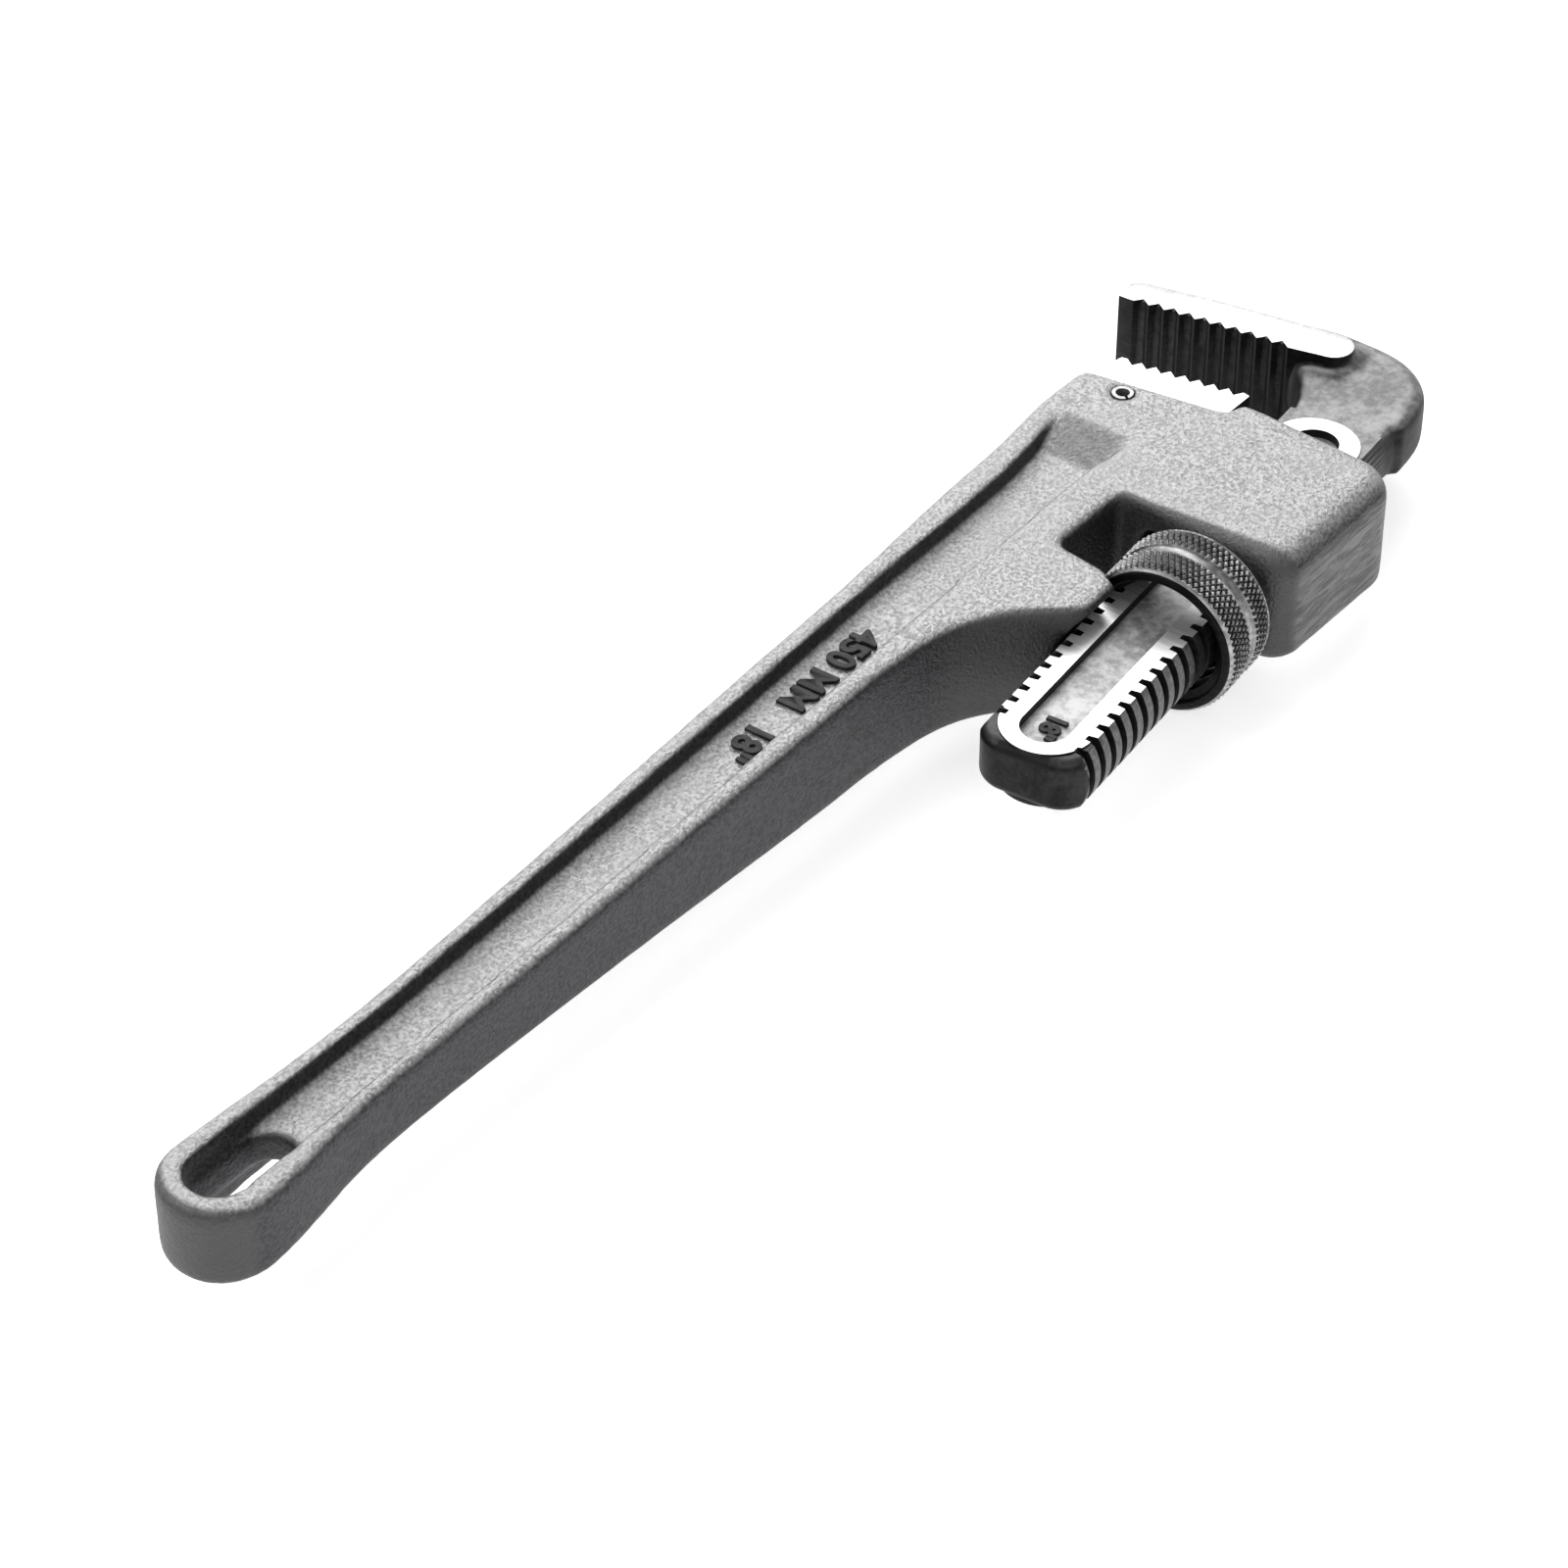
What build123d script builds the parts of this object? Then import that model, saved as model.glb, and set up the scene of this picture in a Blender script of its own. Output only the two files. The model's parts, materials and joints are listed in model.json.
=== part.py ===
from build123d import *
import math
import os

# An 18 inch (450 mm class) straight pipe wrench with a cast I-beam handle. Millimetres.
# It is drawn on its mid-plane (z = 0) with the handle along X and the jaw mouth towards +Y,
# and moved at the end so that it lies on its flat side on z = 0, centred over the origin.

# Handle: its round end, and its half thickness and its web's half thickness along X
END_X = -213.7
END_Y = -3.6
END_RADIUS = 15.1
HEAD_HALF = 17.5
RIM_HALF = [
    (-235, 12.2), (-205, 11.2), (-165, 10.3), (-140, 10.6), (-100, 11.8), (-50, 13.8), (0, 15.8), (60, 17.0),
    (100, HEAD_HALF),
]
WEB_HALF = [
    (-235, 4.5), (-205, 4.5), (-165, 4.6), (-140, 4.9), (-100, 6.2), (-50, 8.2), (0, 10.2), (60, 11.6),
    (100, 12.1),
]
RIM_ROUND = 3.0

# Corners of the nose, the notch for the nut, the housing and the seat of the heel jaw
NOSE_START = (77.0, -40.0)
NOSE_TIP = (88.0, -39.5)
NOTCH_FOOT = (90.6, -17.5)
NOTCH_HEAD = (117.3, -17.5)
HOUSING_FOOT = (117.3, -71.0)
HOUSING_TOP = (174.0, -71.0)
SEAT_SHOULDER = (174.0, -18.6)
SEAT_CORNER = (167.6, -17.6)
SEAT_END = (161.0, 22.6)
HEAD_CORNER = (160.4, 25.2)
HEAD_SIDE = (146.0, 25.5)

# Channel in each face: its round end, and where its floor ramps up into the head
CHANNEL_RADIUS = 8.0
CHANNEL_Y = -3.4
RAMP_FOOT_X = 125.0
RAMP_TOP_X = 142.0

# Hang hole through the web at the handle's end
HANG_HOLE_RADIUS = 6.5
HANG_HOLE_LENGTH = 29.4
HANG_HOLE_X = -206.6

# Axis of the adjusting nut, which leans away from the handle towards its lower end
LEAN_DEG = 5.8
NUT_X = 89.4
NUT_Y = -50.0

# Adjusting nut
NUT_RADIUS = 22.0
NUT_LENGTH = 21.7
NUT_BORE = 18.35
NUT_ROOM = 2.5

# Hook's shank: a screw with two flats, loose in the nut and nearer the handle than its axis
SCREW_SIDE = 2.0
SHANK_RADIUS = 16.0
SHANK_FLAT = 8.5
SHANK_FORGED = 8.0
SHANK_CORNER = 9.6
SHANK_SHOULDER = 3.0
THREAD_PITCH = 5.48
THREAD_DEPTH = 2.1
THREAD_ROOT_SHARE = 0.17
THREAD_MOUTH_SHARE = 0.27
LEAD_DEG = 3.1
SHANK_START = -67.6
THREAD_START = -58.9
THREAD_END = 86.0
SHANK_END = 104.0
GUIDED_END = 110.0
GROUND_START = -66.7
GROUND_END = 102.8
GROUND_WIDTH = 25.6
GROUND_TEETH_START = -54.0
RECESS_START = -62.1
RECESS_END = 97.5
RECESS_WIDTH = 13.6
RECESS_DEPTH = 2.6

# Passage for the shank through the head, with room on the handle side to rock
PASSAGE_GAP = 0.45
PASSAGE_ROCK_ROOM = 4.6
PASSAGE_START = 24.0

# Hook jaw
JAW_HALF = 14.0
HOOK_BODY_HALF = 9.5
HOOK_ROUND = 4.5
SHOULDER_HALF = 12.0
SHOULDER_ROUND = 3.0
RAMP_START = 107.0
RAMP_END = 122.0
HOOK_BACK_TOP = (208.8, 41.2)
HOOK_TIP = (199.4, 40.4)
HOOK_TEETH_START = (199.6, 35.5)
HOOK_TEETH_END = (206.9, -11.5)
HOOK_TEETH = 10
TOOTH_DEPTH = 2.3

# Heel jaw and the roll pin that holds it
HEEL_HALF = 15.5
HEEL_TEETH = 8
HEEL_TEETH_START = (172.9, 18.9)
HEEL_TEETH_END = (178.9, -15.4)
TANG_HALF = 7.0
PIN_X = 156.8
PIN_Y = 9.3
PIN_RADIUS = 3.0
PIN_BORE = 2.0
PIN_SLOT = 0.9
PIN_HALF_LENGTH = 17.1

# Springs behind the shank
BLADE_GAP = 0.3
BLADE_THICKNESS = 0.8
BLADE_WIDTH = 8.0
BLADE_LENGTH = 32.0
BLADE_ALONG = 58.0
BLADE_LIFT = 0.4
BLADE_TURN = 4.0
COIL_RADIUS = 3.6
COIL_WIRE = 0.5
COIL_TURNS = 5
COIL_PLAY = 0.05
POCKET_RADIUS = 4.6
POCKET_DEPTH = 8.0
RIVET_RADIUS = 1.6

CUT = 80.0

axis_dir = Vector(math.cos(math.radians(LEAN_DEG)), math.sin(math.radians(LEAN_DEG)), 0)
side_dir = Vector(-axis_dir.Y, axis_dir.X, 0)
nut_point = Vector(NUT_X, NUT_Y, 0)


def on_axis(along, across=0.0):
    """A point on the mid-plane, from the nut's lower face: along the nut's axis and across it towards +Y."""
    return nut_point + axis_dir * along + side_dir * across


def nut_plane(along, across=0.0):
    """A plane square to the nut's axis, whose local x points down and whose local y points to the handle."""
    return Plane(origin=on_axis(along, across), x_dir=(0, 0, -1), z_dir=axis_dir)


def screw_frame(along):
    """A flat frame on the mid-plane over the screw's own axis, x along the screw and z up."""
    return Plane(origin=on_axis(along, SCREW_SIDE), x_dir=axis_dir, z_dir=(0, 0, 1))


def spring_plane(across):
    """A plane facing the handle at the spring, at a distance from the screw's axis."""
    return Plane(origin=on_axis(BLADE_ALONG, SCREW_SIDE + across), x_dir=axis_dir, z_dir=side_dir)


def flat_slot(start, end, width):
    """A round-ended slot along the screw, on the mid-plane."""
    return screw_frame((start + end) / 2) * SlotOverall(end - start, width)


def prism(outline, half):
    """A closed plan outline, extruded both ways from the mid-plane."""
    return extrude(make_face(outline), half, both=True)


def thickness_profile(levels, foot=None):
    """A side profile in X and Z through the given half thicknesses, as a solid across the whole width."""
    waist = Spline(*levels, tangents=[(1, -0.03), (1, 0)])
    last = levels[-1]
    far = 200
    if foot:
        above = HEAD_HALF + 0.3
        top = Polyline(last, (foot, last[1]), (RAMP_TOP_X, above), (far, above), (far, 0))
    else:
        top = Polyline(last, (far, last[1]), (far, 0))
    under = Polyline((far, 0), (levels[0][0], 0), levels[0])
    upper_half = extrude(Plane.XZ.offset(-120) * make_face(waist + top + under), 240)
    return upper_half + mirror(upper_half, Plane.XY)


def rounded(face, corners):
    """A flat face with each listed corner (x, y, radius) rounded."""
    for x, y, radius in corners:
        corner = face.vertices().sort_by_distance((x, y, 0))[0]
        face = fillet(corner, radius)
    return face


def handle_face():
    """The handle, the nose under the nut and the head, seen from above."""
    lower_start = (END_X, END_Y - END_RADIUS)
    upper_start = (END_X, END_Y + END_RADIUS)
    end_arc = RadiusArc(lower_start, upper_start, END_RADIUS)
    far = Spline(
        upper_start, (-165, 10.7), (-115, 11.8), (-50, 13.9), (0, 15.6), (50, 17.9), (97, 21.4), (121, 23.0),
        HEAD_SIDE,
        tangents=[(1, 0), (1, 0.02)],
    )
    near = Spline(
        lower_start, (-187, -15.5), (-145, -13.5), (-100, -13.5), (-50, -13.8), (0, -14.0), (30, -15.0),
        tangents=[(1, 0), (1, -0.1)],
    )
    flare = Spline(
        (30, -15.0), (46, -18.5), (58, -26.5), (66, -35.5), NOSE_START,
        tangents=[(1, -0.1), (1, -0.02)],
    )
    rest = Polyline(
        NOSE_START, NOSE_TIP, NOTCH_FOOT, NOTCH_HEAD, HOUSING_FOOT, HOUSING_TOP, SEAT_SHOULDER, SEAT_CORNER,
        SEAT_END, HEAD_CORNER, HEAD_SIDE,
    )
    corners = [
        (*NOSE_TIP, 5.0), (*NOTCH_FOOT, 2.0), (*NOTCH_HEAD, 2.0), (*HOUSING_FOOT, 9.0), (*HOUSING_TOP, 12.0),
        (*SEAT_SHOULDER, 1.5), (*HEAD_CORNER, 2.5),
    ]
    return rounded(make_face(end_arc + far + near + flare + rest), corners)


def channel_outline():
    """The channel in each face, from its round end to the ramp in the head."""
    far = Spline(
        (END_X, CHANNEL_Y + CHANNEL_RADIUS), (-190, 5.0), (-150, 5.5), (-100, 6.5), (-50, 7.6), (0, 8.9),
        (60, 11.1), (118, 13.8), (140, 18.2),
    )
    near = Spline(
        (END_X, CHANNEL_Y - CHANNEL_RADIUS), (-190, -10.0), (-150, -8.4), (-100, -8.0), (-50, -7.6),
        (0, -6.9), (60, -5.4), (122, -3.6),
    )
    head_end = Polyline((122, -3.6), (142, -6.5), (143, 8.0), (140, 18.2))
    end_arc = RadiusArc(near @ 0, far @ 0, CHANNEL_RADIUS)
    return far + near + head_end + end_arc


def rocking_section(gap, room):
    """The shank's section with a gap all round, drawn out towards the handle."""
    radius = SHANK_RADIUS + gap
    middle = Pos(0, room / 2) * Rectangle(2 * radius, room)
    rounds = Circle(radius) + Pos(0, room) * Circle(radius) + middle
    return rounds & Pos(0, room / 2) * Rectangle(2 * (SHANK_FLAT + gap), 2 * radius + room)


def heel_blank():
    """The heel jaw before its teeth are cut: a block on the head and a tongue inside it."""
    block = Polyline(
        SEAT_END, SEAT_CORNER, (178.6, -17.6), (179.0, -15.6), (172.6, 20.6), (161.3, 22.6), SEAT_END,
    )
    tongue = Polyline(
        (161.5, 21.0), (150.5, 17.5), (151.5, 1.0), (163.0, -3.0), (170.0, -3.0), (170.0, 21.0),
        (161.5, 21.0),
    )
    return prism(block, HEEL_HALF) + prism(tongue, TANG_HALF)


def spring_pocket():
    """A blind hole for the coil spring, in the handle side of the passage."""
    wall = SHANK_RADIUS + PASSAGE_GAP + PASSAGE_ROCK_ROOM
    return extrude(spring_plane(wall - 3) * Circle(POCKET_RADIUS), POCKET_DEPTH + 3)


def make_handle():
    """One casting: I-beam, nose, head and the housing that guides the hook jaw."""
    blank = extrude(handle_face(), HEAD_HALF + 2, both=True) & thickness_profile(RIM_HALF)
    rims = [edge for edge in blank.edges() if min(abs((edge @ 0).Z), abs((edge @ 1).Z)) > 5]
    seat_x = (SEAT_CORNER[0] + SEAT_END[0]) / 2
    seat = [edge for edge in rims if abs(edge.center().X - seat_x) < 1 and edge.length > 30]
    blank = fillet([edge for edge in rims if edge not in seat], RIM_ROUND)
    channel = prism(channel_outline(), HEAD_HALF + 3) - thickness_profile(WEB_HALF, RAMP_FOOT_X)
    slot = SlotOverall(HANG_HOLE_LENGTH, 2 * HANG_HOLE_RADIUS)
    hang_hole = Pos(HANG_HOLE_X, CHANNEL_Y, 0) * extrude(slot, CUT, both=True)
    section = rocking_section(PASSAGE_GAP, PASSAGE_ROCK_ROOM)
    passage = extrude(nut_plane(PASSAGE_START, SCREW_SIDE) * section, CUT)
    nut_relief = extrude(nut_plane(-NUT_ROOM) * Circle(NUT_RADIUS + 0.7), NUT_LENGTH + 2 * NUT_ROOM)
    nose_relief = extrude(nut_plane(-CUT, SCREW_SIDE) * Circle(SHANK_RADIUS + 0.8), CUT)
    pin_hole = Pos(PIN_X, PIN_Y, 0) * Cylinder(PIN_RADIUS, CUT)
    blank = blank - channel - hang_hole - passage - nut_relief - nose_relief
    return blank - heel_blank() - pin_hole - spring_pocket()


def tooth_row(start, end, count, half):
    """A straight row of V-shaped notches between two points, as a solid to cut away."""
    first = Vector(*start)
    run = Vector(*end) - first
    step = run / count
    inward = Vector(run.Y, -run.X).normalized() * TOOTH_DEPTH
    back = inward * -0.3
    cuts = Part()
    for index in range(count):
        base = first + step * index
        deepest = base + step * 0.55 + inward
        notch = Polyline(base + back, base, deepest, base + step, base + step + back, base + back)
        cuts += prism(notch, half)
    return cuts


def make_heel_jaw():
    """The fixed jaw: a toothed steel block on a tongue that the roll pin holds."""
    heel = heel_blank() - tooth_row(HEEL_TEETH_START, HEEL_TEETH_END, HEEL_TEETH, HEEL_HALF + 1)
    return heel - Pos(PIN_X, PIN_Y, 0) * Cylinder(PIN_RADIUS, CUT)


def make_pin():
    """A rolled spring pin: a tube with a slot down one side."""
    tube = Cylinder(PIN_RADIUS, 2 * PIN_HALF_LENGTH) - Cylinder(PIN_BORE, CUT)
    tube -= Pos(-PIN_RADIUS, 0, 0) * Box(PIN_RADIUS + 1, PIN_SLOT, CUT)
    return Pos(PIN_X, PIN_Y, 0) * Rot(0, 0, 60) * tube


def hook_body_face():
    """The hook from the top of the shank round to its tip, seen from above."""
    back = Spline(
        HOOK_BACK_TOP, (215.4, 19.0), (222.4, 8.0), (229.4, -8.0), (230.9, -24.0), (228.6, -38.5),
        (220.0, -49.0), (205.0, -53.5), (186.0, -54.8),
    )
    throat = Spline((180.0, -25.0), (192.0, -23.5), (202.0, -18.5), (207.4, -13.0))
    root_side = SHANK_RADIUS - 1
    neck = Polyline(
        (186.0, -54.8), on_axis(80, SCREW_SIDE - root_side), on_axis(80, SCREW_SIDE + root_side),
        (180.0, -25.0),
    )
    face = Polyline((207.4, -13.0), HOOK_TEETH_END, HOOK_TEETH_START, HOOK_TIP, HOOK_BACK_TOP)
    return rounded(make_face(back + neck + throat + face), [(*HOOK_BACK_TOP, 3.0), (*HOOK_TIP, 1.0)])


def hook_shoulder_face():
    """The thick part of the forging that carries the pad and its teeth."""
    inner = Polyline(HOOK_BACK_TOP, HOOK_TIP, HOOK_TEETH_START, HOOK_TEETH_END, (210.0, -22.0))
    end = ThreePointArc((210.0, -22.0), (217.5, -29.5), (225.0, -20.0))
    outer = Spline((225.0, -20.0), (221.4, -3.0), (214.8, 19.6), HOOK_BACK_TOP)
    return rounded(make_face(inner + end + outer), [(*HOOK_BACK_TOP, 3.0), (*HOOK_TIP, 1.0)])


def hook_pad_face():
    """The raised, ground pad beside the hook's teeth."""
    inner = Polyline(HOOK_BACK_TOP, HOOK_TIP, HOOK_TEETH_START, HOOK_TEETH_END, (209.5, -21.5))
    end = ThreePointArc((209.5, -21.5), (215.5, -26.8), (221.5, -21.0))
    outer = Spline((221.5, -21.0), (218.5, -3.0), (214.0, 19.0), HOOK_BACK_TOP)
    return rounded(make_face(inner + end + outer), [(*HOOK_BACK_TOP, 3.0), (*HOOK_TIP, 1.0)])


def thread_comb(side):
    """The thread's grooves on one narrow side of the shank, square rings tilted by the lead angle."""
    count = int((THREAD_END - THREAD_START) / THREAD_PITCH)
    root = SHANK_RADIUS - THREAD_DEPTH
    outer = SHANK_RADIUS + 1
    root_half = THREAD_PITCH * THREAD_ROOT_SHARE
    mouth_half = THREAD_PITCH * THREAD_MOUTH_SHARE
    shape = Polyline(
        (root, -root_half), (outer, -mouth_half), (outer, mouth_half), (root, root_half), (root, -root_half),
    )
    half_ring = revolve(Plane.XZ * make_face(shape), Axis.Z, 180)
    turn = Rot(0, side * LEAD_DEG, 0) * Rot(0, 0, 0 if side > 0 else 180)
    start = THREAD_START + (THREAD_PITCH / 2 if side > 0 else 0)
    grooves = Part()
    for index in range(count):
        place = nut_plane(start + index * THREAD_PITCH, SCREW_SIDE).location
        grooves += place * (turn * half_ring)
    return grooves


def make_shank():
    """The screw-cut bar: a forged core with ground flats, a rounded lower end and grooves on both sides."""
    length = SHANK_END - SHANK_START
    outline = screw_frame((SHANK_START + SHANK_END) / 2) * Rectangle(length, 2 * SHANK_RADIUS)
    corners = outline.vertices().sort_by(Axis.X)[:2]
    core = extrude(fillet(corners, SHANK_CORNER), SHANK_FORGED, both=True)
    limit = SHANK_START + SHANK_CORNER / 2
    end_edges = [edge for edge in core.edges().filter_by(Plane.XY) if along_of(edge) < limit]
    core = fillet(end_edges, SHANK_SHOULDER)
    ground = flat_slot(GROUND_START, GROUND_END, GROUND_WIDTH)
    toothed = screw_frame((GROUND_TEETH_START + THREAD_END) / 2) * Rectangle(
        THREAD_END - GROUND_TEETH_START, 2 * SHANK_RADIUS)
    pads = extrude(ground + toothed, SHANK_FLAT, both=True)
    bar = extrude(nut_plane(SHANK_START, SCREW_SIDE) * Circle(SHANK_RADIUS), length)
    return bar & (core + pads) - thread_comb(1) - thread_comb(-1)


def along_of(edge):
    """How far along the screw the middle of an edge lies, from the nut's lower face."""
    return (edge.center() - nut_point).dot(axis_dir)


def ramp_cut():
    """What is taken off the hook's body so that it thins towards the shank."""
    high = 2 * JAW_HALF
    rise = Polyline(
        (60, SHANK_FORGED), (RAMP_START, SHANK_FORGED), (RAMP_END, HOOK_BODY_HALF + 0.2), (RAMP_END, high),
        (60, high), (60, SHANK_FORGED),
    )
    side_view = Plane(origin=on_axis(0, SCREW_SIDE + CUT), x_dir=axis_dir, z_dir=-side_dir)
    upper = extrude(side_view * make_face(rise), 2 * CUT)
    return upper + mirror(upper, Plane.XY)


def make_hook_jaw():
    """The moving jaw and its screw-cut shank, one forging."""
    body = extrude(hook_body_face(), HOOK_BODY_HALF, both=True)
    body = fillet(body.faces().filter_by(Axis.Z).edges(), HOOK_ROUND)
    sleeve = Rectangle(60, 90) - Circle(SHANK_RADIUS)
    body -= extrude(nut_plane(GUIDED_END - 50, SCREW_SIDE) * sleeve, 50)
    body -= ramp_cut()
    shoulder = extrude(hook_shoulder_face(), SHOULDER_HALF, both=True)
    shoulder = fillet(shoulder.faces().filter_by(Axis.Z).edges(), SHOULDER_ROUND)
    pad = extrude(hook_pad_face(), JAW_HALF, both=True)
    hook = make_shank() + body + shoulder + pad
    hook -= tooth_row(HOOK_TEETH_END, HOOK_TEETH_START, HOOK_TEETH, JAW_HALF + 1)
    floor = SHANK_FLAT - RECESS_DEPTH
    recess = flat_slot(RECESS_START, RECESS_END, RECESS_WIDTH)
    for face_side in (1, -1):
        hook -= Pos(0, 0, face_side * (floor + RECESS_DEPTH)) * extrude(recess, RECESS_DEPTH, both=True)
    return hook


def make_adjusting_nut():
    """The knurled nut: two raised bands, a groove between them and a plain lip at the lower end."""
    profile = Polyline(
        (NUT_BORE + 0.5, 0), (NUT_RADIUS - 1.6, 0), (NUT_RADIUS - 1.1, 0.6), (NUT_RADIUS, 1.5),
        (NUT_RADIUS, 10.6), (NUT_RADIUS - 1.0, 11.3), (NUT_RADIUS - 1.0, 13.3), (NUT_RADIUS, 14.0),
        (NUT_RADIUS, NUT_LENGTH - 0.9), (NUT_RADIUS - 0.9, NUT_LENGTH), (NUT_BORE + 0.5, NUT_LENGTH),
        (NUT_BORE, NUT_LENGTH - 0.5), (NUT_BORE, 0.5), (NUT_BORE + 0.5, 0),
    )
    return nut_plane(0).location * revolve(Plane.XZ * make_face(profile), Axis.Z)


def make_leaf_spring():
    """A thin blade along the shank's handle side, with its ends turned away from the thread."""
    inner = SHANK_RADIUS + BLADE_GAP
    outer = inner + BLADE_THICKNESS
    half = BLADE_LENGTH / 2
    flat = half - BLADE_TURN
    outline = Polyline(
        (-half, inner + BLADE_LIFT), (-flat, inner), (flat, inner), (half, inner + BLADE_LIFT),
        (half, outer + BLADE_LIFT), (flat, outer), (-flat, outer), (-half, outer + BLADE_LIFT),
        (-half, inner + BLADE_LIFT),
    )
    blade = screw_frame(BLADE_ALONG).location * extrude(make_face(outline), BLADE_WIDTH / 2, both=True)
    return blade - extrude(spring_plane(0) * Circle(RIVET_RADIUS), CUT)


def make_spring_rivet():
    """The rivet that holds the coil spring to the blade."""
    seat = SHANK_RADIUS + BLADE_GAP
    stem = extrude(spring_plane(seat) * Circle(RIVET_RADIUS), BLADE_THICKNESS)
    head = extrude(spring_plane(seat + BLADE_THICKNESS) * Circle(RIVET_RADIUS + 0.8), 0.6)
    return stem + head


def make_coil_spring():
    """A short compression spring between the blade and the bottom of its pocket."""
    low = SHANK_RADIUS + BLADE_GAP + BLADE_THICKNESS + COIL_PLAY
    high = SHANK_RADIUS + PASSAGE_GAP + PASSAGE_ROCK_ROOM + POCKET_DEPTH - COIL_PLAY
    height = high - low - 2 * COIL_WIRE
    path = Helix(height / COIL_TURNS, height, COIL_RADIUS - COIL_WIRE)
    wire = sweep(Plane(origin=path @ 0, z_dir=path % 0) * Circle(COIL_WIRE), path, is_frenet=True)
    return spring_plane(low + COIL_WIRE).location * wire


def main():
    """Make every piece, lay the wrench on its flat side over the origin, and write it out."""
    pieces = {
        "handle": make_handle(),
        "heel_jaw": make_heel_jaw(),
        "heel_jaw_pin": make_pin(),
        "hook_jaw": make_hook_jaw(),
        "adjusting_nut": make_adjusting_nut(),
        "leaf_spring": make_leaf_spring(),
        "spring_rivet": make_spring_rivet(),
        "coil_spring": make_coil_spring(),
    }
    boxes = [piece.bounding_box() for piece in pieces.values()]
    low = [min(getattr(box.min, axis) for box in boxes) for axis in "XYZ"]
    high = [max(getattr(box.max, axis) for box in boxes) for axis in "XYZ"]
    shift = Pos(-(low[0] + high[0]) / 2, -(low[1] + high[1]) / 2, -low[2])
    print("moved by", shift.position)
    os.makedirs("parts", exist_ok=True)
    for name, piece in pieces.items():
        export_step(shift * piece, f"parts/{name}.step")
    return shift


if __name__ == "__main__":
    main()
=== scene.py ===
import json
import math

import bmesh
import bpy
import numpy as np
from mathutils import Matrix, Vector, noise


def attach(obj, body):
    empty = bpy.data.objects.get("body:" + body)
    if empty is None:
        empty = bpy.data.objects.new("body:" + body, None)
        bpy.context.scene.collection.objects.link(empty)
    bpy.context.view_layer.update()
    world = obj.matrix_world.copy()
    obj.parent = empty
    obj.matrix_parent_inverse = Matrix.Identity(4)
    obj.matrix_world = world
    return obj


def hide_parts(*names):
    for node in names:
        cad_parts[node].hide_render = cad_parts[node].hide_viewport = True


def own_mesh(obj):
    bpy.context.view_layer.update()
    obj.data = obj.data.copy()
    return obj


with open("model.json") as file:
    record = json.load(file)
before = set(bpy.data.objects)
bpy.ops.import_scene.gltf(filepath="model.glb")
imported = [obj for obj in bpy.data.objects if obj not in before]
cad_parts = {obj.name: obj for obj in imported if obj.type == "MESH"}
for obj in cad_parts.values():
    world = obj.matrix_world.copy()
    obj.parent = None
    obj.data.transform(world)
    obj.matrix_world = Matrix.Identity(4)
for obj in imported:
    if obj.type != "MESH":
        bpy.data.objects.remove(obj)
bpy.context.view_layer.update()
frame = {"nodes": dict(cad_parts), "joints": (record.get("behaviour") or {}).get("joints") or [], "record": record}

# Sizes are in millimetres, and MM turns them into the frame's metres. TINY guards divisions, and WELD is
# the distance, in metres, within which a mesh's points are joined.
MM = 0.001
TINY = 1e-6
WELD = 2e-6
nodes = frame["nodes"]
record = frame["record"]
scene = bpy.context.scene

# The drawing has its mid-plane at z = 0. One shift takes it into the frame, found from the hang hole.
HANG_HOLE = (-206.6, -3.4, 0.0)
hang_hole = next(m for m in record["mounts"] if m["name"] == "hang_hole")
SHIFT = Vector(hang_hole["pos_m"]) - Vector(HANG_HOLE) * MM

# The nut's axis. SIDE points from it towards the handle, and the screw stands SCREW_SIDE that way.
NUT_LENGTH = 21.7
SCREW_SIDE = 2.0
spin = next(j for j in frame["joints"] if j["name"] == "nut_spin")
AXIS = Vector(spin["axis"]).normalized()
UP = Vector((0, 0, 1))
SIDE = UP.cross(AXIS)
LEAN = math.atan2(AXIS.y, AXIS.x)
NUT_FOOT = Vector(spin["pos_m"]) - AXIS * NUT_LENGTH / 2 * MM


def place(x, y, z=0.0):
    """A point of the drawing in the frame's metres."""
    return Vector((x, y, z)) * MM + SHIFT


def on_screw(along, side, up=0.0):
    """A point given by its distances from the nut's foot, in the frame's metres."""
    return NUT_FOOT + (AXIS * along + SIDE * side + UP * up) * MM


def vectors(items, field="co"):
    """One vector of each item, such as a point's place or a face's normal, as an array."""
    values = np.zeros(len(items) * 3)
    items.foreach_get(field, values)
    return values.reshape(-1, 3)


def set_coords(mesh, co):
    """Puts an array of points back into the mesh."""
    mesh.vertices.foreach_set("co", np.asarray(co, float).ravel())
    mesh.update()


def drawing(co):
    """An array of frame points as drawing millimetres."""
    return (co - np.array(SHIFT)) / MM


def screw_coords(co):
    """An array of frame points as (along, across, up) millimetres from the screw's axis."""
    rel = (co - np.array(NUT_FOOT)) / MM
    return np.stack([rel @ np.array(AXIS), rel @ np.array(SIDE) - SCREW_SIDE, rel[:, 2]], axis=1)


def new_object(name, data):
    """An object of that mesh, light or camera, linked into the scene."""
    obj = bpy.data.objects.new(name, data)
    scene.collection.objects.link(obj)
    return obj


def cad_copy(node, name):
    """A welded copy of a CAD node's mesh."""
    mesh = nodes[node].data.copy()
    mesh.materials.clear()
    for layer in ("custom_normal", "sharp_face", "sharp_edge"):
        if layer in mesh.attributes:
            mesh.attributes.remove(mesh.attributes[layer])
    bm = bmesh.new()
    bm.from_mesh(mesh)
    bmesh.ops.remove_doubles(bm, verts=bm.verts, dist=WELD)
    bm.to_mesh(mesh)
    bm.free()
    mesh.name = name
    return new_object(name, mesh)


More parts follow.
